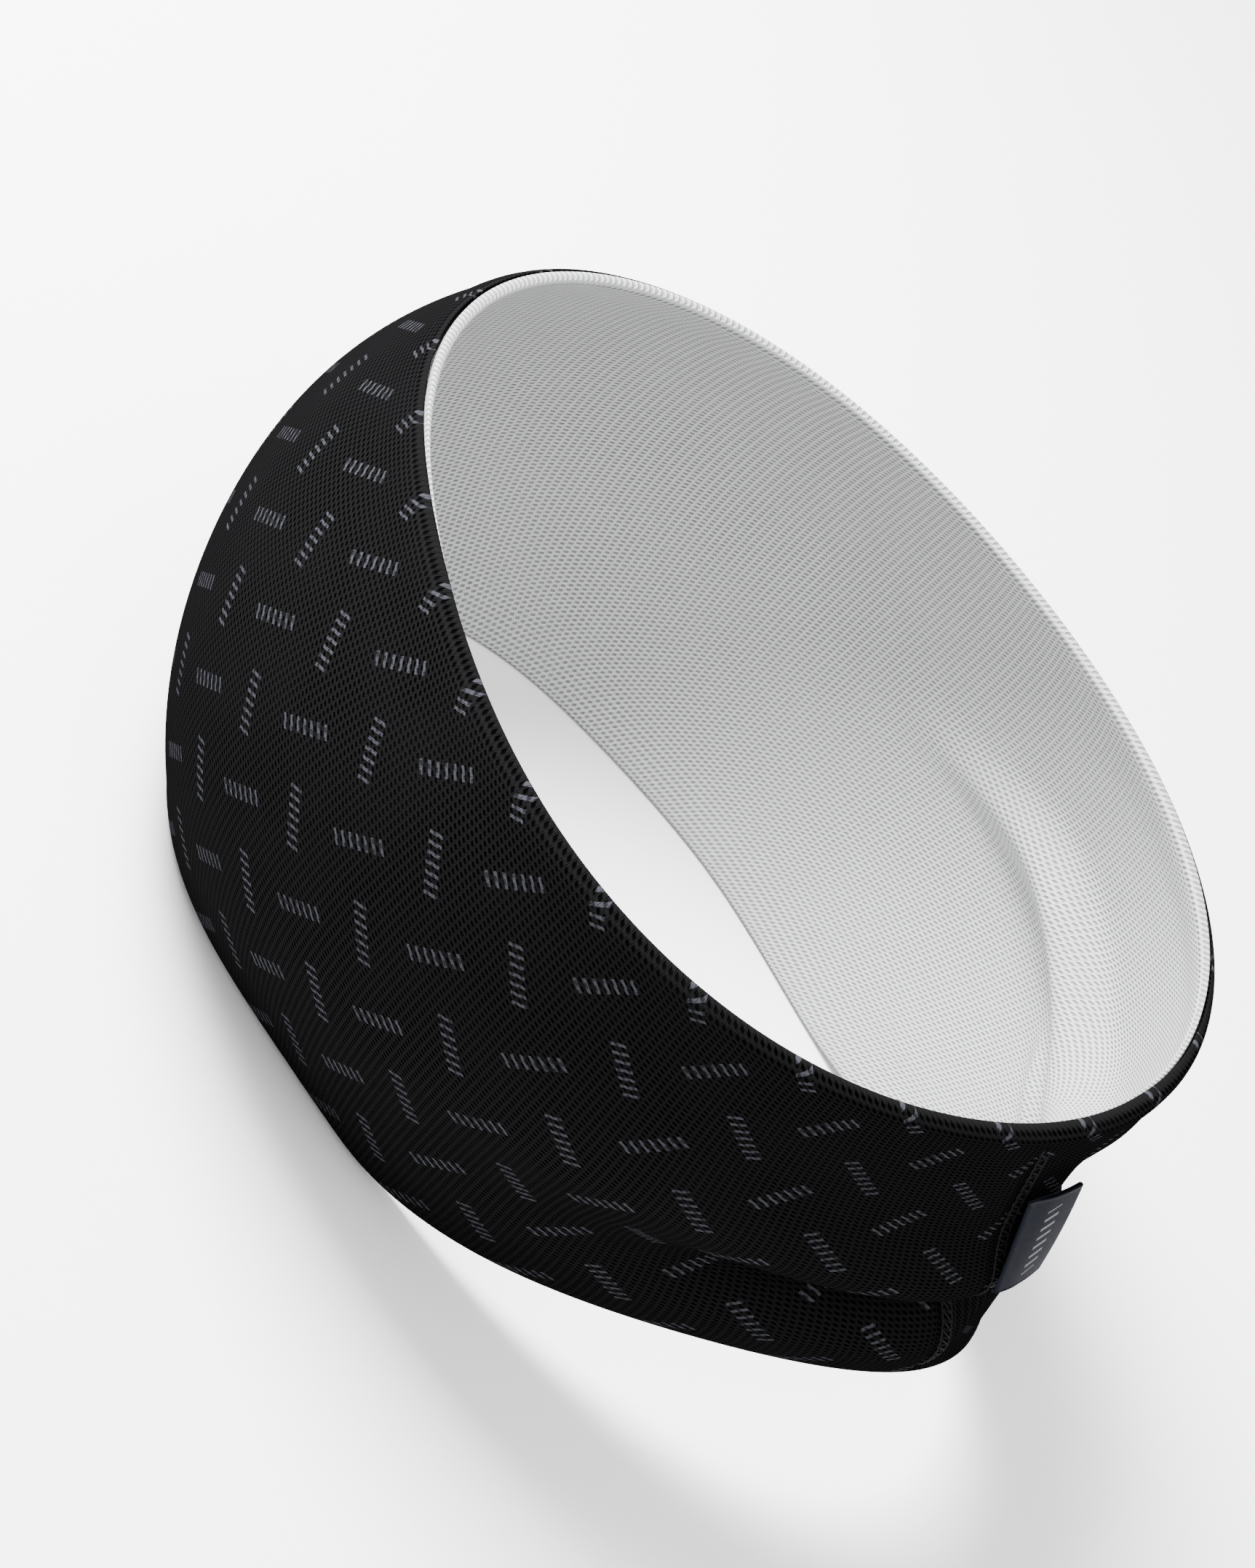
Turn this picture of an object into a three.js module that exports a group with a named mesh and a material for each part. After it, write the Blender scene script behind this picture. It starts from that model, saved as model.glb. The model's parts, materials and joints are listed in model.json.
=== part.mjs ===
// Sports headband: a wide, two-layer knit ring standing on its lower rim, gathered by one fold at the back.
// Millimetres, +Z up. +X is the wearer's left, -Y the forehead, +Y the back seam. The origin is under the
// middle of the bounding box, on the surface that the lower rim stands on.
import * as THREE from 'three';

// ---- driving dimensions ------------------------------------------------------------------------------
const bandHeight = 91;           // lower rim to upper rim, straight up
const upperRimRadius = 88.6;     // mean radius of the upper rim
const lowerRimRadius = 80.2;     // mean radius of the lower rim
const shellCloth = 1.0;          // thickness of the outer knit
const liningCloth = 0.9;         // thickness of the lining knit
const clothGap = 0.3;            // clearance between pieces that touch

// Each rim is a soft oval: [cosine, sine] waves of one, two, three... turns on top of its mean radius.
const upperRimWaves = [[-2.9, 1.4], [-4.1, -0.9], [0.2, 2.6], [-0.4, 0.2]];
const lowerRimWaves = [[-2.4, 8.5], [-11.8, -6.0], [4.6, -1.0], [0.3, 0.4], [-1.3, -1.6]];
const lowerRimLift = { height: 24.7, at: 96, half: 68 }; // the lower rim rises at the gathered back
const backTwist = { angle: 10.5, at: 90, half: 110 };    // the lower rim is turned past the upper one

const bulge = { sides: 17.9, back: 3.4 };                // how far the cloth stands out between the rims
const tuck = { depth: 4.9, at: 115, half: 34 };          // drawn in behind the right ear

const fold = {
  from: 0, to: 185,              // degrees round the band, left ear to right ear
  leftHeight: 0.33,              // share of the way up, left of the seam
  rightHeight: 0.69,             // just right of the seam
  rightEnd: 0.60,                // at the right ear
  turnFrom: 89, turnTo: 128,     // where it climbs beside the seam
  width: 0.11,
  depthLeft: 2.5, depthBack: 7.7, depthRight: 5,
  lip: 3.5,                      // lips stand proud of the band
};

const rimPad = { length: 7, half: 2.2, flat: 1.2 };      // rolled rim: run, half thickness, flat at the crest
const seamCord = { radius: 0.75, inset: 3, sides: 6 };   // seam allowance and thread inside each rim
const backSeam = { at: 90, width: 2.4, height: 0.5, from: 0.02, to: 0.98 };
const liningSeam = { height: 0.4, from: 0.05, to: 0.95 };
const label = {
  from: 0.53, to: 0.79,          // share of the way up the back seam
  length: 13, leaf: 0.45, slit: 0.3, corner: 0.3,
  lift: 12,                      // degrees that it stands off the band
  offset: 3.0,                   // its sewn edge, out from the band's middle surface
};
const stepsRound = 60;           // sections round the band
const crowding = 0.6;            // 0 spaces them evenly, 1 packs them against the back seam
const stepsUp = 15;              // strips between the rolled rims

// ---- small helpers -----------------------------------------------------------------------------------
const rad = THREE.MathUtils.degToRad;

function ease(from, to, x) {
  return THREE.MathUtils.smoothstep(x, from, to);
}

// 1 at an angle, falling smoothly to 0 at half a width on either side of it
function hump(at, half, angle) {
  const apart = Math.abs(((((angle - at + 180) % 360) + 360) % 360) - 180);
  return ease(0, 1, 1 - Math.min(apart / half, 1));
}

function rimPoint(radius, waves, degrees, z) {
  const angle = rad(degrees);
  let r = radius;
  waves.forEach(([cosine, sine], index) => {
    const turns = (index + 1) * angle;
    r += cosine * Math.cos(turns) + sine * Math.sin(turns);
  });
  return new THREE.Vector3(r * Math.cos(angle), r * Math.sin(angle), z);
}

// ---- the band's middle surface -------------------------------------------------------------------------
// around: degrees round the upper rim; up: 0 at the lower rim, 1 at the upper rim

// How far the gathered fold moves the cloth outwards: in at its valley, out at its lips
function foldAt(around, up) {
  const angle = ((((around + 90) % 360) + 360) % 360) - 90;
  const strength = ease(fold.from, 62, angle) * (1 - ease(130, fold.to, angle));
  const side = angle < backSeam.at ? fold.depthLeft : fold.depthRight;
  const reach = angle < backSeam.at ? 52 : 62;
  const depth = side + (fold.depthBack - side) * hump(backSeam.at + 2, reach, angle);
  const right = fold.rightHeight + (fold.rightEnd - fold.rightHeight) * ease(110, 160, angle);
  const centre = fold.leftHeight + (right - fold.leftHeight) * ease(fold.turnFrom, fold.turnTo, angle);
  const width = fold.width * (1.5 - 0.5 * hump(95, 70, angle));
  const across = (up - centre) / width;
  const lipSize = fold.lip * hump(78, 62, angle) * (1 - ease(90, 100, angle));
  const lips = Math.exp(-(((across - 1.9) / 1.2) ** 2)) + 0.5 * Math.exp(-(((across + 1.9) / 1.2) ** 2));
  const valley = Math.exp(-across * across);
  const clearOfRims = ease(0, 0.09, up) * ease(0, 0.09, 1 - up);
  return clearOfRims * strength * (lipSize * lips - depth * valley);
}

function bandPoint(around, up) {
  const turned = around + backTwist.angle * hump(backTwist.at, backTwist.half, around);
  const lift = lowerRimLift.height * hump(lowerRimLift.at, lowerRimLift.half, turned);
  const top = rimPoint(upperRimRadius, upperRimWaves, around, bandHeight);
  const bottom = rimPoint(lowerRimRadius, lowerRimWaves, turned, lift);
  const point = bottom.lerp(top, up);
  const belly = bulge.sides + (bulge.back - bulge.sides) * hump(92, 95, around);
  const outward = foldAt(around, up)
    + 4 * up * (1 - up) * (belly - tuck.depth * hump(tuck.at, tuck.half, around));
  const facing = rad(THREE.MathUtils.lerp(turned, around, up));
  const upright = rad(turned - around) * lowerRimRadius * up * (1 - up);   // most of the turn is low down
  point.x += outward * Math.cos(facing) + upright * Math.sin(facing);
  point.y += outward * Math.sin(facing) - upright * Math.cos(facing);
  return point;
}

// Outward direction of the cloth; at the crest of a rim it is level, so that the rim stands flat.
function bandNormal(around, up) {
  const step = 0.004;
  const low = Math.max(up - step, 0);
  const high = Math.min(up + step, 1);
  const alongRim = bandPoint(around + 0.5, up).sub(bandPoint(around - 0.5, up));
  const alongHeight = bandPoint(around, high).sub(bandPoint(around, low));
  const normal = alongRim.clone().cross(alongHeight).normalize();
  const level = alongRim.cross(new THREE.Vector3(0, 0, 1)).normalize();
  const fromRim = Math.min(up, 1 - up) * bandHeight;
  return level.lerp(normal, ease(0, rimPad.length, fromRim)).normalize();
}

function bandOffset(around, up, offset) {
  return bandPoint(around, up).addScaledVector(bandNormal(around, up), offset);
}

// Angles of the sections round the band, from one edge of the back seam round to the other. They close up
// towards the seam, and none lies inside its width, so its stitching rests on one flat strip.
function sectionAngles() {
  const edge = THREE.MathUtils.radToDeg(backSeam.width / upperRimRadius) / 2;
  const angles = [];
  for (let i = 0; i <= stepsRound; i += 1) {
    const even = i / stepsRound;
    const crowded = even - (crowding * Math.sin(2 * Math.PI * even)) / (2 * Math.PI);
    angles.push(backSeam.at + edge + (360 - 2 * edge) * crowded);
  }
  return angles;
}

// ---- closed meshes -------------------------------------------------------------------------------------
function meshFrom(points, faces) {
  const geometry = new THREE.BufferGeometry();
  geometry.setAttribute('position', new THREE.Float32BufferAttribute(points.flatMap((p) => p.toArray()), 3));
  geometry.setIndex(faces.flat());
  geometry.computeVertexNormals();
  return geometry;
}

// Joins a run of equal sections into one solid: a closed ring, or a bar with two end faces.
// Sections given clockwise are turned inside out again, so that both layers split their squares alike.
function loft(sections, closed, clockwise) {
  const size = sections[0].length;
  const faces = [];
  const spans = closed ? sections.length : sections.length - 1;
  for (let i = 0; i < spans; i += 1) {
    const here = i * size;
    const next = ((i + 1) % sections.length) * size;
    for (let k = 0; k < size; k += 1) {
      const l = (k + 1) % size;
      faces.push([here + k, next + k, next + l], [here + k, next + l, here + l]);
    }
  }
  if (!closed) {
    const last = (sections.length - 1) * size;
    for (let k = 1; k < size - 1; k += 1) {
      faces.push([0, k, k + 1], [last, last + k + 1, last + k]);
    }
  }
  return meshFrom(sections.flat(), clockwise ? faces.map((face) => face.reverse()) : faces);
}

function addPiece(group, name, geometry, colour, roughness) {
  const material = new THREE.MeshStandardMaterial({ color: colour, roughness, metalness: 0 });
  const piece = new THREE.Mesh(geometry, material);
  piece.name = name;
  group.add(piece);
}

// ---- the two knit layers -------------------------------------------------------------------------------
// Rows from rim to rim. Each is a share of the way up, then how far the layer's far and near faces stand
// from the middle surface there: the two layers part round the seam that is rolled inside each rim.
function layerRows(cloth) {
  const near = clothGap / 2;
  const rimRows = [
    { up: 0, far: rimPad.flat, near },
    { up: 1 / bandHeight, far: rimPad.half - 0.35, near: 0.8 },
    { up: seamCord.inset / bandHeight, far: rimPad.half, near: rimPad.half - cloth },
    { up: rimPad.length / bandHeight, far: near + cloth, near },
  ];
  const start = rimRows[rimRows.length - 1].up;
  const rows = rimRows.slice();
  for (let i = 1; i < stepsUp; i += 1) {
    rows.push({ up: start + ((1 - 2 * start) * i) / stepsUp, far: near + cloth, near });
  }
  rimRows.reverse().forEach((row) => rows.push({ ...row, up: 1 - row.up }));
  return rows;
}

function layerSection(around, cloth, side) {
  const rows = layerRows(cloth);
  const farFace = rows.map((row) => bandOffset(around, row.up, side * row.far));
  const nearFace = rows.map((row) => bandOffset(around, row.up, side * row.near));
  return farFace.concat(nearFace.reverse());
}

function layer(cloth, side) {
  return loft(sectionAngles().map((around) => layerSection(around, cloth, side)), true, side < 0);
}

// ---- seams ---------------------------------------------------------------------------------------------
// The seam allowance and its thread, rolled inside a rim
function rimSeam(up) {
  const sections = sectionAngles().map((around) => {
    const section = [];
    for (let k = 0; k < seamCord.sides; k += 1) {
      const turn = (2 * Math.PI * k) / seamCord.sides;
      const shift = (seamCord.radius * Math.sin(turn)) / bandHeight;
      section.push(bandOffset(around, up - shift, seamCord.radius * Math.cos(turn)));
    }
    return section;
  });
  return loft(sections, true, true);
}

// Stitching laid on a face of the band along the back seam, from one rolled rim to the other
function seamStrip(seam, cloth, side) {
  const after = sectionAngles()[0];
  const before = 2 * backSeam.at - after;
  const rows = layerRows(cloth).filter((row) => row.up > seam.from && row.up < seam.to);
  const sections = rows.map(({ up, far }) => {
    const foot = far + clothGap;
    const corners = [[before, foot], [after, foot], [after, foot + seam.height], [before, foot + seam.height]];
    return corners.map(([around, offset]) => bandOffset(around, up, side * offset));
  });
  return loft(sections, false, side < 0);
}

// ---- folded label --------------------------------------------------------------------------------------
// A ribbon folded in two: a front and a back leaf joined at the free end, open at the sewn edge.
// It hangs from its sewn edge, which lies along the back seam, and points to the wearer's right.
function labelAxes() {
  const low = bandOffset(backSeam.at, label.from, label.offset);
  const high = bandOffset(backSeam.at, label.to, label.offset);
  const down = low.clone().sub(high);
  const width = down.length();
  down.normalize();
  const reach = bandNormal(backSeam.at, 1).cross(down).normalize();
  reach.applyAxisAngle(down, -rad(label.lift));
  const face = down.clone().cross(reach).normalize();
  return { high, width, down, reach, face };
}

function labelSolid() {
  const { high, width, down, reach, face } = labelAxes();
  const thick = 2 * label.leaf + label.slit;
  const foldInside = label.length - label.leaf;
  const outline = new THREE.Shape();
  outline.moveTo(0, 0);
  outline.lineTo(label.length - label.corner, 0);
  outline.lineTo(label.length, label.corner);
  outline.lineTo(label.length, thick - label.corner);
  outline.lineTo(label.length - label.corner, thick);
  outline.lineTo(0, thick);
  outline.lineTo(0, thick - label.leaf);
  outline.lineTo(foldInside, thick - label.leaf);
  outline.lineTo(foldInside, label.leaf);
  outline.lineTo(0, label.leaf);
  const solid = new THREE.ExtrudeGeometry(outline, { depth: width, bevelEnabled: false });
  const placing = new THREE.Matrix4().makeBasis(reach, face, down).setPosition(high);
  return solid.applyMatrix4(placing);
}

// ---- assembly ------------------------------------------------------------------------------------------
const headband = new THREE.Group();
addPiece(headband, 'outer_shell', layer(shellCloth, 1), 0x17171a, 0.92);
addPiece(headband, 'lining', layer(liningCloth, -1), 0xe6e7e8, 0.95);
addPiece(headband, 'upper_rim_seam', rimSeam(1 - seamCord.inset / bandHeight), 0x2a2a2e, 0.9);
addPiece(headband, 'lower_rim_seam', rimSeam(seamCord.inset / bandHeight), 0x2a2a2e, 0.9);
addPiece(headband, 'back_seam_overlock', seamStrip(backSeam, shellCloth, 1), 0x101012, 0.85);
addPiece(headband, 'lining_back_seam', seamStrip(liningSeam, liningCloth, -1), 0xd8d9db, 0.9);
addPiece(headband, 'loop_label', labelSolid(), 0x23262f, 0.8);

// Stand the band on the ground plane with the origin under the middle of its box.
const box = new THREE.Box3().setFromObject(headband);
const middle = box.getCenter(new THREE.Vector3());
headband.position.set(-middle.x, -middle.y, -box.min.z);

export default headband;
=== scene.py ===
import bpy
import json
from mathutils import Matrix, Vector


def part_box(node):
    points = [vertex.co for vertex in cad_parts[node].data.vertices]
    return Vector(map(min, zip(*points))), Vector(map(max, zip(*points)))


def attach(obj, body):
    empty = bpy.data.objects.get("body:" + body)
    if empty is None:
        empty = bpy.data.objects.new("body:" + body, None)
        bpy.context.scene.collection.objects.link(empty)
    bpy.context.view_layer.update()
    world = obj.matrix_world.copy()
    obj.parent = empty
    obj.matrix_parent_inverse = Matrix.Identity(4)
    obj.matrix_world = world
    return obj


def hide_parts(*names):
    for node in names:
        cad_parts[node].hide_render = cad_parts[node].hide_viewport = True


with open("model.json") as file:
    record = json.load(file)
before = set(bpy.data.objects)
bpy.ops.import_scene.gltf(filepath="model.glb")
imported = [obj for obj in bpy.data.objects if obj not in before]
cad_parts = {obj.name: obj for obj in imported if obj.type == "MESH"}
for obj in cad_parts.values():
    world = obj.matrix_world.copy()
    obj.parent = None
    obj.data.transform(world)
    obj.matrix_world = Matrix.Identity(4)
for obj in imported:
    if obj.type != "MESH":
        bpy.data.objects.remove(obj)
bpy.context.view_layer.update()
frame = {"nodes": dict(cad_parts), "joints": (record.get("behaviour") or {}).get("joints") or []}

import json
import math

import bpy
import numpy as np
from mathutils import Euler, Vector

# Wide stretch headband for racket sports: black printed jersey outside, pale knit inside, gathered by one
# fold at its back seam. +X is the wearer's left, -Y the forehead, +Y the back seam, +Z up.
# Lengths in the dictionaries are millimetres; mm turns them into metres.
mm = 0.001

print("headband: camera, floor and lights")

# camera, floor and lights
cameraSetup = {
    "place": (492.6, 239.2, 438.9),
    "turn": (43.81, -36.11, 148.51),        # degrees
    "lens": 83.5, "sensor": 36,
    "near": 10,
}
studio = {
    "floorSize": 6000,
    "floorDrop": 0.4,                   # just below the rim, so that the two faces don't meet
    "floorColour": (0.97, 0.97, 0.97), "floorRough": 0.9,
    "skyColour": (1.0, 1.0, 1.0),
    "skyStrength": 1.12,
    "lamps": [                          # name, azimuth, elevation, distance, size, watts
        ("keyLamp", 15, 50, 1000, 500, 72.0),
        ("fillLamp", 130, 60, 1200, 900, 12.0),
        ("rimLamp", 250, 40, 1100, 700, 2.5),
    ],
}


def addCamera(setup):
    data = bpy.data.cameras.new("mainCamera")
    data.lens = setup["lens"]
    data.sensor_width = setup["sensor"]
    data.clip_start = setup["near"] * mm
    camera = bpy.data.objects.new("mainCamera", data)
    camera.location = [value * mm for value in setup["place"]]
    camera.rotation_euler = Euler([math.radians(value) for value in setup["turn"]])
    bpy.context.scene.collection.objects.link(camera)
    bpy.context.scene.camera = camera


def addStudio(setup):
    half = setup["floorSize"] * mm / 2
    mesh = bpy.data.meshes.new("floor")
    corners = [(-half, -half, 0), (half, -half, 0), (half, half, 0), (-half, half, 0)]
    mesh.from_pydata(corners, [], [(0, 1, 2, 3)])
    floor = bpy.data.objects.new("floor", mesh)
    floor.location.z = -setup["floorDrop"] * mm
    bpy.context.scene.collection.objects.link(floor)
    paint = bpy.data.materials.new("floorPaint")
    paint.use_nodes = True
    shader = paint.node_tree.nodes["Principled BSDF"]
    shader.inputs["Base Color"].default_value = (*setup["floorColour"], 1)
    shader.inputs["Roughness"].default_value = setup["floorRough"]
    mesh.materials.append(paint)
    world = bpy.data.worlds.new("studioSky")
    world.use_nodes = True
    world.node_tree.nodes["Background"].inputs["Color"].default_value = (*setup["skyColour"], 1)
    world.node_tree.nodes["Background"].inputs["Strength"].default_value = setup["skyStrength"]
    bpy.context.scene.world = world
    for name, azimuth, elevation, distance, size, watts in setup["lamps"]:
        data = bpy.data.lights.new(name, "AREA")
        data.size = size * mm
        data.energy = watts
        lamp = bpy.data.objects.new(name, data)
        a, e = math.radians(azimuth), math.radians(elevation)
        out = Vector((math.sin(a) * math.cos(e), -math.cos(a) * math.cos(e), math.sin(e)))
        lamp.location = out * distance * mm
        lamp.rotation_euler = out.to_track_quat("Z", "Y").to_euler()
        bpy.context.scene.collection.objects.link(lamp)


addCamera(cameraSetup)
addStudio(studio)

# the band's middle surface
print("headband: band surface")
band = {
    "height": 91,
    "girth": 560, "clothHeight": 93,       # of the cloth laid flat, for its knit and print
    "upperRadius": 88.6,
    "lowerRadius": 80.2,
    "upperWaves": [(-2.9, 1.4), (-4.1, -0.9), (0.2, 2.6), (-0.4, 0.2)],
    "lowerWaves": [(-2.4, 8.5), (-11.8, -6.0), (4.6, -1.0), (0.3, 0.4), (-1.3, -1.6)],
    "lowerLift": {"height": 24.7, "at": 96, "half": 68},
    "twist": {"angle": 10.5, "at": 90, "half": 110},
    "belly": {"sides": 17.9, "back": 3.4, "at": 92, "half": 95},
    "tuck": {"depth": 4.9, "at": 115, "half": 34},
    "seamAt": 90,
}
fold = {
    # places and widths round the band are degrees; heights and widths across it are shares of the way up
    "start": 0, "full": 62,                # it deepens from the left ear to here
    "fading": 158, "end": 204,             # and fades on the right
    "leftHeight": 0.33, "rightHeight": 0.69, "rightLow": 0.52,
    "dropFrom": 103, "dropTo": 130,        # where it comes down again, right of the seam
    "crest": {"rise": 0.09, "at": 165, "half": 34},
    "turnStart": 89, "turnEnd": 102,       # where it climbs beside the seam
    "width": 0.09, "widthRight": 0.055, "narrowFrom": 118, "narrowTo": 145,
    "tightAt": 95, "tightHalf": 70, "looser": 1.5,       # it is that much wider away from the back
    "deepest": 92, "reachLeft": 52, "reachRight": 40,
    "depthLeft": 2.5, "depthBack": 11, "depthRight": 8.2,
    "overhang": 3, "overhangHalf": 40,
    "lip": 4.5, "lowerLip": 0.5, "lipAt": 78, "lipHalf": 62, "lipAcross": 1.9, "lipWidth": 1.2,
    "lipFadeFrom": 90, "lipFadeTo": 100,
    "rimClear": 0.09,                      # the rims are left alone
}
pleat = {                                  # a small second fold in the lining's right side
    "at": 137, "half": 17,
    "height": 0.40, "slope": 0.006,
    "width": 0.04, "depth": 4.5,
}


def ease(start, end, x):
    t = np.clip((x - start) / (end - start), 0, 1)
    return t * t * (3 - 2 * t)


def hump(at, half, angle):
    apart = np.abs((angle - at + 180) % 360 - 180)
    return ease(0, 1, 1 - np.minimum(apart / half, 1))


def bell(x):
    return np.exp(-x * x)


def rimPoints(radius, waves, degrees, z):
    angle = np.radians(degrees)
    r = radius
    for index, (cosine, sine) in enumerate(waves):
        turns = (index + 1) * angle
        r = r + cosine * np.cos(turns) + sine * np.sin(turns)
    return np.stack([r * np.cos(angle), r * np.sin(angle), z + 0 * angle], -1)


def foldMove(around, up):
    # how far the fold moves the cloth outwards and upwards: in at its valley, out at its lips
    angle = (around + 90) % 360 - 90
    left = angle < band["seamAt"]
    strength = ease(fold["start"], fold["full"], angle) * (1 - ease(fold["fading"], fold["end"], angle))
    side = np.where(left, fold["depthLeft"], fold["depthRight"])
    reach = np.where(left, fold["reachLeft"], fold["reachRight"])
    depth = side + (fold["depthBack"] - side) * hump(fold["deepest"], reach, angle)

    crest = fold["crest"]
    drop = (fold["rightLow"] - fold["rightHeight"]) * ease(fold["dropFrom"], fold["dropTo"], angle)
    right = fold["rightHeight"] + drop + crest["rise"] * hump(crest["at"], crest["half"], angle)
    climb = ease(fold["turnStart"], fold["turnEnd"], angle)
    centre = fold["leftHeight"] + (right - fold["leftHeight"]) * climb

    tight = hump(fold["tightAt"], fold["tightHalf"], angle)
    width = fold["width"] * (fold["looser"] - (fold["looser"] - 1) * tight)
    width = width + (fold["widthRight"] - width) * ease(fold["narrowFrom"], fold["narrowTo"], angle)
    across = (up - centre) / width
    valley = bell(across)
    upperLip = bell((across - fold["lipAcross"]) / fold["lipWidth"])
    lowerLip = bell((across + fold["lipAcross"]) / fold["lipWidth"])
    lip = fold["lip"] * hump(fold["lipAt"], fold["lipHalf"], angle)
    lip = lip * (1 - ease(fold["lipFadeFrom"], fold["lipFadeTo"], angle))

    clear = ease(0, fold["rimClear"], up) * ease(0, fold["rimClear"], 1 - up) * strength
    pleatHeight = pleat["height"] + pleat["slope"] * (angle - pleat["at"])
    pleatIn = pleat["depth"] * hump(pleat["at"], pleat["half"], angle)
    pleatIn = pleatIn * bell((up - pleatHeight) / pleat["width"])
    # 2.33 makes the largest sideways move of the valley's walls equal to the overhang
    overhang = fold["overhang"] * hump(band["seamAt"], fold["overhangHalf"], angle) * 2.33 * across * valley
    lips = lip * (upperLip + fold["lowerLip"] * lowerLip)
    return clear * (lips - depth * valley) - pleatIn, -clear * overhang


def bandPoints(around, up):
    around, up = np.broadcast_arrays(np.asarray(around, float), np.asarray(up, float))
    twist, lift = band["twist"], band["lowerLift"]
    turned = around + twist["angle"] * hump(twist["at"], twist["half"], around)
    top = rimPoints(band["upperRadius"], band["upperWaves"], around, band["height"])
    bottom = rimPoints(band["lowerRadius"], band["lowerWaves"], turned, 0)
    bottom[..., 2] += lift["height"] * hump(lift["at"], lift["half"], turned)
    points = bottom + (top - bottom) * up[..., None]
    belly, tuck = band["belly"], band["tuck"]
    fullness = belly["sides"] + (belly["back"] - belly["sides"]) * hump(belly["at"], belly["half"], around)
    fullness = fullness - tuck["depth"] * hump(tuck["at"], tuck["half"], around)
    out, rise = foldMove(around, up)
    outward = out + 4 * up * (1 - up) * fullness
    facing = np.radians(turned + (around - turned) * up)
    # most of the turn is low down, so the cloth between the rims stands more upright
    upright = np.radians(turned - around) * band["lowerRadius"] * up * (1 - up)
    points[..., 0] += outward * np.cos(facing) + upright * np.sin(facing)
    points[..., 1] += outward * np.sin(facing) - upright * np.cos(facing)
    points[..., 2] += rise
    return points


def unit(vectors):
    return vectors / np.linalg.norm(vectors, axis=-1, keepdims=True)


rimRoll = {
    "run": 9.5, "half": 1.9, "steps": 9, "blend": 5,
    "open": 9,                             # degrees of the roll left out on each side of the joint
    "overIn": 52, "overOut": 42,           # how far past the crest the jersey, or the lining, is rolled
    "inAt": 50, "inHalf": 125, "inSteep": 1.8,           # where round the rim it is the jersey
}


def bandNormals(around, up):
    around, up = np.broadcast_arrays(np.asarray(around, float), np.asarray(up, float))
    turn, step = 0.25, 0.004
    alongRim = bandPoints(around + turn, up) - bandPoints(around - turn, up)
    alongHeight = bandPoints(around, np.minimum(up + step, 1)) - bandPoints(around, np.maximum(up - step, 0))
    normal = unit(np.cross(alongRim, alongHeight))
    level = unit(np.cross(alongRim, (0, 0, 1)))
    share = ease(0, rimRoll["run"], np.minimum(up, 1 - up) * band["height"])[..., None]
    return unit(level + (normal - level) * share)


def bandOffset(around, up, offset):
    return bandPoints(around, up) + bandNormals(around, up) * np.asarray(offset, float)[..., None]


rimSeam = {"inset": 3, "radius": 0.75}


def frameShift():
    # the upper rim's seam has the same shape here as in the frame, so it gives the shift between the two
    seamUp = 1 - rimSeam["inset"] / band["height"]
    sides = [bandOffset(np.arange(0, 360, 1.0), seamUp, side * rimSeam["radius"]) for side in (-1, 1)]
    ring = np.concatenate(sides)
    low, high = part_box("upper_rim_seam")
    middle = np.array([(low.x + high.x) / 2, (low.y + high.y) / 2]) / mm
    return np.array([*(middle - (ring[:, :2].min(0) + ring[:, :2].max(0)) / 2), 0])


shift = frameShift()
print("headband: shift to the frame", shift.round(3))


# meshes
def makePiece(name, points, faces, material, cloth=None):
    mesh = bpy.data.meshes.new(name)
    mesh.from_pydata((np.asarray(points) * mm).tolist(), [], faces)
    mesh.validate()
    if cloth is not None:
        layer = mesh.uv_layers.new(name="cloth")
        layer.uv.foreach_set("vector", np.asarray(cloth, np.float32).ravel())
    mesh.polygons.foreach_set("use_smooth", [True] * len(mesh.polygons))
    mesh.materials.append(material)
    piece = bpy.data.objects.new(name, mesh)
    bpy.context.scene.collection.objects.link(piece)
    return piece


def gridFaces(columns, rows, closedColumns, closedRows):
    faces = []
    for i in range(columns if closedColumns else columns - 1):
        here, there = i * rows, (i + 1) % columns * rows
        for k in range(rows if closedRows else rows - 1):
            above = (k + 1) % rows
            faces.append((here + k, there + k, there + above, here + above))
    return faces


def sweepTube(path, radius, sides, up):
    path = np.asarray(path, float)
    along = unit(np.gradient(path, axis=0))
    side = unit(np.cross(along, up))
    top = np.cross(side, along)
    turn = np.arange(sides) * 2 * math.pi / sides
    ring = side[:, None] * np.cos(turn)[None, :, None] + top[:, None] * np.sin(turn)[None, :, None]
    points = (path[:, None] + ring * radius).reshape(-1, 3)
    faces = [face[::-1] for face in gridFaces(len(path), sides, False, True)]
    last = (len(path) - 1) * sides
    faces.append(tuple(range(sides)))
    faces.append(tuple(last + k for k in reversed(range(sides))))
    return points, faces


def joinParts(parts):
    points, faces, count = [], [], 0
    for partPoints, partFaces in parts:
        points.append(partPoints)
        faces += [tuple(count + k for k in face) for face in partFaces]
        count += len(partPoints)
    return np.concatenate(points), faces


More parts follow.
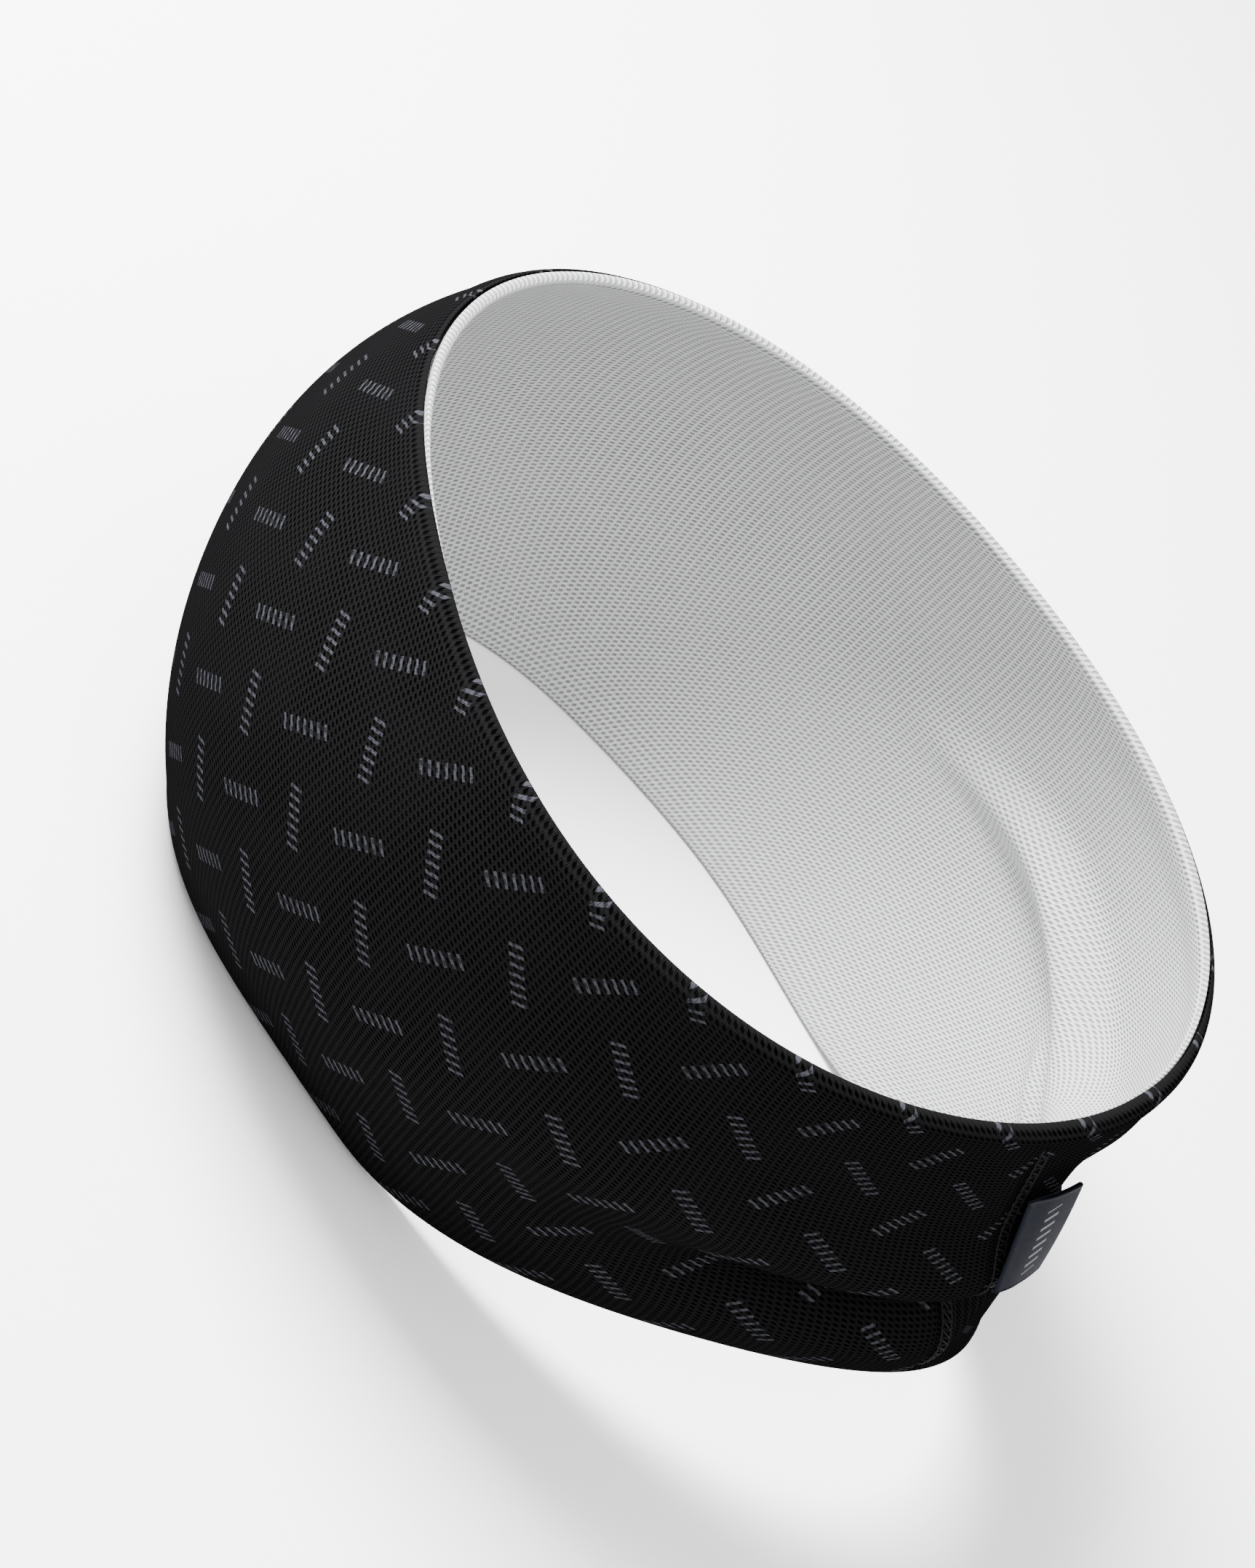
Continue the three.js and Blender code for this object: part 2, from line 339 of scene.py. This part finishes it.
# materials
class NodeMaker:
    def __init__(self, material):
        material.use_nodes = True
        self.tree = material.node_tree
        self.shader = self.tree.nodes["Principled BSDF"]

    def node(self, kind, **inputs):
        made = self.tree.nodes.new(kind)
        for name, value in inputs.items():
            self.feed(made.inputs[name], value)
        return made

    def feed(self, socket, value):
        if isinstance(value, bpy.types.NodeSocket):
            self.tree.links.new(value, socket)
        else:
            socket.default_value = value

    def math(self, operation, *values):
        made = self.tree.nodes.new("ShaderNodeMath")
        made.operation = operation
        for socket, value in zip(made.inputs, values):
            self.feed(socket, value)
        return made.outputs[0]

    def add(self, first, second):
        return self.math("ADD", first, second)

    def minus(self, first, second):
        return self.math("SUBTRACT", first, second)

    def times(self, first, second):
        return self.math("MULTIPLY", first, second)

    def over(self, first, second):
        return self.math("DIVIDE", first, second)

    def larger(self, first, second):
        return self.math("MAXIMUM", first, second)

    def below(self, value, limit):
        return self.math("LESS_THAN", value, limit)

    def size(self, value):
        return self.math("ABSOLUTE", value)

    def fract(self, value):
        return self.math("FRACT", value)

    def nearest(self, value):
        return self.math("ROUND", value)

    def sine(self, value):
        return self.math("SINE", value)

    def spread(self, value, low, high, toLow=0.0, toHigh=1.0):
        made = self.tree.nodes.new("ShaderNodeMapRange")
        made.interpolation_type = "SMOOTHSTEP"
        for socket, given in zip(made.inputs, (value, low, high, toLow, toHigh)):
            self.feed(socket, given)
        return made.outputs[0]

    def mix(self, share, first, second):
        made = self.tree.nodes.new("ShaderNodeMix")
        made.data_type = "RGBA"
        # inputs 6 and 7 and output 2 are the node's colour sockets
        self.feed(made.inputs[0], share)
        self.feed(made.inputs[6], first)
        self.feed(made.inputs[7], second)
        return made.outputs[2]

    def noise(self, vector, scale, detail=2.0):
        made = self.tree.nodes.new("ShaderNodeTexNoise")
        self.feed(made.inputs["Vector"], vector)
        made.inputs["Scale"].default_value = scale
        made.inputs["Detail"].default_value = detail
        return made.outputs["Fac"]

    def clothPlace(self):
        # x runs round the band and y up it, both in millimetres
        place = self.tree.nodes.new("ShaderNodeUVMap")
        place.uv_map = "cloth"
        parts = self.tree.nodes.new("ShaderNodeSeparateXYZ")
        self.tree.links.new(place.outputs[0], parts.inputs[0])
        return place.outputs[0], parts.outputs[0], parts.outputs[1]

    def bump(self, height, strength, distance):
        made = self.tree.nodes.new("ShaderNodeBump")
        made.inputs["Strength"].default_value = strength
        made.inputs["Distance"].default_value = distance * mm
        self.feed(made.inputs["Height"], height)
        self.tree.links.new(made.outputs[0], self.shader.inputs["Normal"])


def knitHeight(maker, x, y, wale, course):
    # each wale is a rounded column, with one slanted dash of shadow between each stitch and the next
    across = maker.minus(maker.fract(maker.over(x, wale)), 0.5)
    slanted = maker.add(maker.over(y, course), maker.times(across, 0.55))
    along = maker.size(maker.minus(maker.fract(slanted), 0.5))
    fromMiddle = maker.size(across)
    short = maker.spread(along, 0.08, 0.36, 1.0, 0.0)
    narrow = maker.spread(fromMiddle, 0.2, 0.42, 1.0, 0.0)
    groove = maker.spread(fromMiddle, 0.36, 0.5, 0.0, 0.35)
    return maker.minus(1.0, maker.larger(maker.times(short, narrow), groove))


def tickRun(maker, along, across, look):
    # a run of slanted ticks, centred where along and across are both nothing
    leaning = maker.add(along, maker.times(across, look["slant"]))
    share = maker.fract(maker.add(maker.over(leaning, look["pitch"]), look["phase"]))
    tick = maker.below(maker.size(maker.minus(share, 0.5)), look["thick"] / look["pitch"] / 2)
    inside = maker.below(maker.size(leaning), look["run"] / 2)
    tall = maker.below(maker.size(across), look["tall"] / 2)
    return maker.times(maker.times(inside, tall), tick)


jersey = {
    "wale": 1.35, "course": 0.85,
    # the gap colour is painted shade in the grooves between the wales and in the dashes between stitches; its
    # contrast with the yarn is a painted stand-in for the sheen on the ribs, as the jersey has no specular
    "yarn": (0.0046, 0.0046, 0.0048), "gap": (0.0004, 0.0004, 0.0005), "worn": (0.005, 0.005, 0.0053),
    "print": (0.030, 0.030, 0.036),
    "period": band["girth"] / 26, "start": 0.05,         # between like blocks, round the band
    "rowGap": 9.6, "rowAt": 0.69 * band["clothHeight"],
    "block": {"run": 10.8, "pitch": 10.8 / 7, "phase": 3.5, "thick": 0.55, "tall": 2.5, "slant": 0.33},
}


def hatchPrint(maker, x, y):
    # rows of blocks across the band, each row half a period on from the last; the blocks lean 45 degrees one
    # way in even rows and the other way in odd rows
    row = maker.over(maker.minus(y, jersey["rowAt"]), jersey["rowGap"])
    blocks = []
    for odd, lean in ((0, 1.0), (1, -1.0)):
        pair = maker.times(maker.minus(row, float(odd)), 0.5)
        dy = maker.times(maker.minus(pair, maker.nearest(pair)), 2 * jersey["rowGap"])
        column = maker.add(maker.over(x, jersey["period"]), jersey["start"] + 0.5 * odd)
        dx = maker.times(maker.minus(column, maker.nearest(column)), jersey["period"])
        leaning = maker.times(dx, lean)
        along = maker.times(maker.add(leaning, dy), math.sqrt(0.5))
        across = maker.times(maker.minus(dy, leaning), math.sqrt(0.5))
        blocks.append(tickRun(maker, along, across, jersey["block"]))
    return maker.larger(*blocks)


def jerseyMaterial():
    material = bpy.data.materials.new("blackJersey")
    maker = NodeMaker(material)
    place, x, y = maker.clothPlace()
    height = knitHeight(maker, x, y, jersey["wale"], jersey["course"])
    wear = maker.noise(place, 0.06)
    fuzz = maker.noise(place, 3.0, 4.0)
    # painted shade: the near-black gap colour fills the knit's grooves and dashes, standing in for the sheen
    # on the ribs
    yarn = maker.mix(maker.spread(height, 0.1, 0.8), (*jersey["gap"], 1), (*jersey["yarn"], 1))
    printed = maker.times(hatchPrint(maker, x, y), maker.spread(height, 0.05, 0.55, 0.35, 1.0))
    colour = maker.mix(printed, yarn, (*jersey["print"], 1))
    faded = maker.mix(maker.spread(wear, 0.35, 0.7, 0.0, 0.18), colour, (*jersey["worn"], 1))
    maker.feed(maker.shader.inputs["Base Color"], faded)
    maker.feed(maker.shader.inputs["Roughness"], maker.spread(fuzz, 0.3, 0.7, 0.8, 0.95))
    maker.shader.inputs["Specular IOR Level"].default_value = 0.0
    maker.bump(maker.add(height, maker.times(fuzz, 0.25)), 0.9, 0.4)
    return material


liningKnit = {
    "wale": 1.4, "course": 0.9,
    "yarn": (0.44, 0.445, 0.445), "gap": (0.16, 0.162, 0.164), "shade": (0.42, 0.425, 0.43),
}


def liningMaterial():
    material = bpy.data.materials.new("paleLiningKnit")
    maker = NodeMaker(material)
    place, x, y = maker.clothPlace()
    height = knitHeight(maker, x, y, liningKnit["wale"], liningKnit["course"])
    cloudy = maker.noise(place, 0.05)
    fuzz = maker.noise(place, 3.5, 4.0)
    yarn = maker.mix(maker.spread(height, 0.1, 0.75), (*liningKnit["gap"], 1), (*liningKnit["yarn"], 1))
    toned = maker.mix(maker.spread(cloudy, 0.3, 0.75, 0.0, 0.10), yarn, (*liningKnit["shade"], 1))
    maker.feed(maker.shader.inputs["Base Color"], toned)
    maker.feed(maker.shader.inputs["Roughness"], maker.spread(fuzz, 0.3, 0.7, 0.8, 0.95))
    maker.shader.inputs["Specular IOR Level"].default_value = 0.2
    maker.bump(maker.add(height, maker.times(fuzz, 0.3)), 0.9, 0.35)
    return material


def threadMaterial(name, colour, rough):
    material = bpy.data.materials.new(name)
    maker = NodeMaker(material)
    place = maker.node("ShaderNodeTexCoord").outputs["Object"]
    twist = maker.node("ShaderNodeTexWave", Vector=place, Scale=900.0, Distortion=1.5)
    fuzz = maker.noise(place, 2500.0, 3.0)
    dark = tuple(value * 0.55 for value in colour)
    maker.feed(maker.shader.inputs["Base Color"], maker.mix(twist.outputs["Fac"], (*dark, 1), (*colour, 1)))
    maker.feed(maker.shader.inputs["Roughness"], maker.spread(fuzz, 0.3, 0.7, rough - 0.1, rough + 0.1))
    maker.shader.inputs["Specular IOR Level"].default_value = 0.02
    maker.bump(twist.outputs["Fac"], 0.5, 0.08)
    return material


ribbon = {
    "colour": (0.0035, 0.0039, 0.007), "weft": (0.007, 0.0078, 0.0125), "rib": 0.45,
    "mark": (0.13, 0.13, 0.14), "markAt": 0.52,          # share of the way out to the folded edge
    "ticks": {"run": 15.4, "pitch": 2.2, "phase": 0.0, "thick": 0.66, "tall": 3.0, "slant": 0.35},
}


def ribbonMaterial():
    material = bpy.data.materials.new("wovenRibbon")
    maker = NodeMaker(material)
    _, x, y = maker.clothPlace()
    warp = maker.sine(maker.times(x, 2 * math.pi / ribbon["rib"]))
    weft = maker.sine(maker.times(y, 2 * math.pi / ribbon["rib"]))
    weave = maker.times(maker.add(maker.times(warp, weft), 1.0), 0.5)
    along = maker.minus(y, labelLook["width"] / 2)
    across = maker.minus(x, labelLook["length"] * ribbon["markAt"])
    mark = tickRun(maker, along, across, ribbon["ticks"])
    cloth = maker.mix(weave, (*ribbon["colour"], 1), (*ribbon["weft"], 1))
    maker.feed(maker.shader.inputs["Base Color"], maker.mix(mark, cloth, (*ribbon["mark"], 1)))
    maker.feed(maker.shader.inputs["Roughness"], maker.spread(weave, 0.0, 1.0, 0.55, 0.75))
    maker.shader.inputs["Specular IOR Level"].default_value = 0.03
    maker.bump(weave, 0.5, 0.1)
    return material


# the two knit layers
layers = {
    "columns": 720, "rows": 150, "crowding": 0.55,
    "shellCloth": 1.0, "liningCloth": 0.9, "gap": 0.10,
    "seamDip": 0.55, "seamDipWidth": 1.3,      # the back seam is drawn in
    "dipFrom": 0.03, "dipFull": 0.08,
}


def jointTilt(around):
    # degrees from the crest to the joint between the layers, positive towards the inside of the band:
    # the jersey is rolled in along the left and the back, and the lining is rolled out along the rest
    rolledIn = np.minimum(rimRoll["inSteep"] * hump(rimRoll["inAt"], rimRoll["inHalf"], around), 1)
    return -rimRoll["overOut"] + (rimRoll["overIn"] + rimRoll["overOut"]) * rolledIn


def rollFace(tilt, side, radius, flat):
    # one face of a layer round a rolled rim: how far it lies from the crest and from the middle surface
    half, run = rimRoll["half"], rimRoll["run"]
    first = rimRoll["open"] - side * tilt[:, None]
    turn = np.radians(first + (90 - first) * np.linspace(0, 1, rimRoll["steps"]))
    below = np.linspace(half, run, rimRoll["blend"] + 1)[1:]
    beside = radius + (flat - radius) * ease(half, run, below)
    shape = (len(tilt), len(below))
    drop = np.concatenate([half - radius * np.cos(turn), np.broadcast_to(below, shape)], 1)
    out = np.concatenate([radius * np.sin(turn), np.broadcast_to(beside, shape)], 1)
    return drop / band["height"], out


def clothFace(around, side, radius, flat):
    # shares of the way up and offsets of one face of a layer, from rim to rim, one row for each column
    edge = rimRoll["run"] / band["height"]
    middle = np.linspace(edge, 1 - edge, layers["rows"])[1:-1]
    shape = (len(around), len(middle))
    lowDrop, lowOut = rollFace(np.zeros(len(around)), side, radius, flat)
    highDrop, highOut = rollFace(jointTilt(around), side, radius, flat)
    up = np.concatenate([lowDrop, np.broadcast_to(middle, shape), 1 - highDrop[:, ::-1]], 1)
    out = np.concatenate([lowOut, np.full(shape, flat), highOut[:, ::-1]], 1)
    return up, out


def columnAngles():
    # closer together across the gathered back
    even = np.linspace(0, 1, layers["columns"], endpoint=False)
    return band["seamAt"] + 360 * (even - layers["crowding"] * np.sin(2 * math.pi * even) / (2 * math.pi))


def addLayer(name, cloth, side, material):
    around = columnAngles()
    near = layers["gap"]
    farUp, far = clothFace(around, side, rimRoll["half"], near + cloth)
    nearUp, nearOut = clothFace(around, side, rimRoll["half"] - cloth, near)
    fromSeam = np.radians((around - band["seamAt"] + 180) % 360 - 180) * band["upperRadius"]
    dip = layers["seamDip"] * bell(fromSeam / layers["seamDipWidth"])
    far = far - dip[:, None] * ease(layers["dipFrom"], layers["dipFull"], np.minimum(farUp, 1 - farUp))
    loopUp = np.concatenate([farUp, nearUp[:, ::-1]], 1)
    loopOut = np.concatenate([far, nearOut[:, ::-1]], 1) * side
    points = bandOffset(around[:, None], loopUp, loopOut) + shift
    columns, rows = loopUp.shape
    faces = gridFaces(columns, rows, True, True)
    x = (around - band["seamAt"]) / 360 * band["girth"]
    y = loopUp.mean(0) * band["clothHeight"]
    xNext = np.append(x[1:], band["girth"])
    yNext = np.roll(y, -1)
    i, k = [grid.ravel() for grid in np.meshgrid(np.arange(columns), np.arange(rows), indexing="ij")]
    corners = ((x[i], y[k]), (xNext[i], y[k]), (xNext[i], yNext[k]), (x[i], yNext[k]))
    laidFlat = np.stack([np.stack(corner, -1) for corner in corners], 1)
    if side < 0:
        faces = [face[::-1] for face in faces]
        laidFlat = laidFlat[:, ::-1]
    piece = makePiece(name, points.reshape(-1, 3), faces, material, cloth=laidFlat.reshape(-1, 2))
    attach(piece, "band")
    return piece


print("headband: knit layers")
outer = addLayer("outer_jersey", layers["shellCloth"], 1, jerseyMaterial())
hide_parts("outer_shell")
lining = addLayer("lining_knit_layer", layers["liningCloth"], -1, liningMaterial())
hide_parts("lining")

# back seam stitching
print("headband: stitching")
stitching = {
    "pitch": 2.0, "reach": 2.0, "thread": 0.17,
    "from": 0.03, "to": 0.97,
    "lift": 1.15, "liningLift": 1.05,
    "needleAt": 0.05, "looperWave": 0.16, "needleWave": 0.1, "edgeWave": 0.05,
    "steps": 6, "sides": 6,                # points in each stitch, and corners round each thread
    "black": (0.010, 0.010, 0.0105), "pale": (0.72, 0.72, 0.73), "hidden": (0.03, 0.03, 0.033),
}


def seamRun(start, end, count):
    # shares of the way up that are evenly spaced along the cloth at the back seam
    fine = np.linspace(start, end, 600)
    points = bandPoints(band["seamAt"], fine)
    length = np.concatenate([[0], np.cumsum(np.linalg.norm(np.diff(points, axis=0), axis=1))])
    return np.interp(np.linspace(0, length[-1], count), length, fine), length[-1]


def addOverlock(name, side, lift, material):
    # a looper thread that zigzags between two straight threads, one along the seam and one along its edge
    _, total = seamRun(stitching["from"], stitching["to"], 2)
    stitches = int(total / stitching["pitch"])
    up, _ = seamRun(stitching["from"], stitching["to"], stitches * stitching["steps"] + 1)
    phase = np.linspace(0, stitches, len(up))
    wave = 2 * math.pi * phase
    zigzag = ease(0, 1, np.abs((phase % 1) * 2 - 1))
    paths = []
    for reach, out in (
        (zigzag * stitching["reach"], lift + stitching["looperWave"] * np.sin(wave)),
        (stitching["needleAt"] + 0 * up, lift + stitching["needleWave"] * np.cos(wave)),
        (stitching["reach"] + 0 * up, lift + stitching["edgeWave"] * np.cos(2 * wave)),
    ):
        around = band["seamAt"] + np.degrees(reach / band["upperRadius"])
        paths.append(bandOffset(around, up, out * side) + shift)
    normal = bandNormals(band["seamAt"] + 0 * up, up)
    threads = [sweepTube(path, stitching["thread"], stitching["sides"], normal) for path in paths]
    points, faces = joinParts(threads)
    piece = makePiece(name, points, faces, material)
    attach(piece, "band")
    return piece


blackThread = threadMaterial("blackThread", stitching["black"], 0.7)
overlock = addOverlock("overlock_thread_run", 1, stitching["lift"], blackThread)
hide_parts("back_seam_overlock")
paleThread = threadMaterial("paleThread", stitching["pale"], 0.7)
innerStitch = addOverlock("lining_seam_stitch", -1, stitching["liningLift"], paleThread)
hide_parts("lining_back_seam")

for node in ("upper_rim_seam", "lower_rim_seam"):
    seam = frame["nodes"][node]
    seam.data.materials.clear()
    seam.data.materials.append(threadMaterial(node + "_thread", stitching["hidden"], 0.8))

# folded label
print("headband: label")
labelLook = {
    "length": 13.0, "width": 21.2, "leaf": 0.32, "gap": 0.35,
    "lift": 12, "twist": 9,                # degrees off the band, and from one side of the label to the other
    "twistOver": 6,                        # the twist comes in over this distance from the sewn edge
    "curl": 0.55, "curlTurn": 2.6, "droop": 0.35,
    "closed": 0.25, "closedOver": 5,       # how near the leaves come at the sewn edge, and over what distance
    "columns": 27, "leafSteps": 16, "bendSteps": 9,
}


def leafLine(look):
    # the ribbon's middle line seen end on: out along the lower leaf, round the fold, back along the upper one
    radius = (look["leaf"] + look["gap"]) / 2
    straight = np.linspace(0, look["length"] - radius - look["leaf"] / 2, look["leafSteps"])
    bend = np.radians(np.linspace(-90, 90, look["bendSteps"]))[1:-1]
    apart = radius * (look["closed"] + (1 - look["closed"]) * ease(0, look["closedOver"], straight))
    lower = np.stack([straight, -apart], -1)
    turn = np.stack([straight[-1] + radius * np.cos(bend), radius * np.sin(bend)], -1)
    upper = np.stack([straight, apart], -1)[::-1]
    line = np.concatenate([lower, turn, upper])
    line[:, 1] += look["curl"] * np.sin(line[:, 0] / look["length"] * look["curlTurn"])
    return line


def addLabel(look, material):
    joint = frame["joints"][0]
    middle = np.array(joint["pos_m"]) / mm
    down = unit(np.array(joint["axis"], float))
    flat = unit(np.cross(bandNormals(band["seamAt"], 1.0), down))
    turn = -math.radians(look["lift"])
    reach = flat * math.cos(turn) + np.cross(down, flat) * math.sin(turn)
    face = np.cross(down, reach)
    line = leafLine(look)
    tangent = unit(np.gradient(line, axis=0))
    normal = np.stack([-tangent[:, 1], tangent[:, 0]], -1) * look["leaf"] / 2
    outline = np.concatenate([line + normal, (line - normal)[::-1]])
    far = outline[:, 0]
    places = np.linspace(-look["width"] / 2, look["width"] / 2, look["columns"])
    points = []
    for place in places:
        # the free corners droop a little, and the label is twisted about its sewn edge
        sag = look["droop"] * (place / look["width"] * 2) ** 2 * np.clip(far / look["length"], 0, 1) ** 2
        bent = math.radians(look["twist"] * place / look["width"]) * ease(0, look["twistOver"], far)
        over = outline[:, 1] - sag
        along = far * np.cos(bent) + over * np.sin(bent)
        above = over * np.cos(bent) - far * np.sin(bent)
        points.append(middle + down * place + reach * along[:, None] + face * above[:, None])
    rows = len(outline)
    faces = gridFaces(len(places), rows, False, True)
    last = (len(places) - 1) * rows
    for k in range(rows // 2 - 1):
        corners = (k, k + 1, rows - 2 - k, rows - 1 - k)
        faces.append(corners[::-1])
        faces.append(tuple(last + corner for corner in corners))
    up = places + look["width"] / 2
    cloth = [(far[index % rows], up[index // rows]) for corners in faces for index in corners]
    piece = makePiece("folded_label", np.concatenate(points), faces, material, cloth=cloth)
    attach(piece, "label")
    return piece


label = addLabel(labelLook, ribbonMaterial())
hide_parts("loop_label")

print("headband: done")
